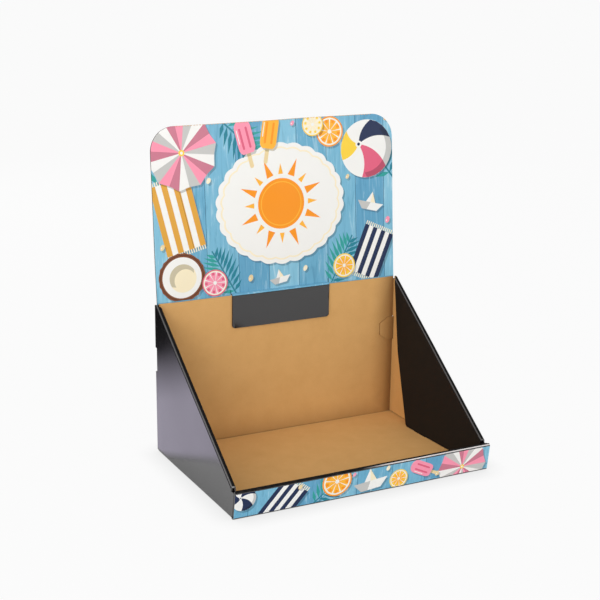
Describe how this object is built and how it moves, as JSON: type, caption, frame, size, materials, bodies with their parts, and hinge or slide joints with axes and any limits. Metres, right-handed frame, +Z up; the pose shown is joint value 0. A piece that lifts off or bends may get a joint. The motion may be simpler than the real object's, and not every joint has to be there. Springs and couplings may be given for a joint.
{
  "type": "counter display box",
  "caption": "Counter display box: a low tray folded from corrugated board with sloped sides and a raked front lip, and a printed header card hooked over its back wall.",
  "frame": {"origin": "on the ground, under the middle of the base", "axes": "+Z up, +X to the right seen from the front, +Y to the back wall"},
  "size_m": [0.3, 0.2235, 0.3574],
  "materials": {
    "tray_board": "satin black print outside, bare kraft inside",
    "header_print": "satin print on the front, black print on the tab, bare kraft behind"
  },
  "bodies": {
    "root": {"display_tray": "tray_board", "header_card": "header_print"}
  },
  "joints": []
}
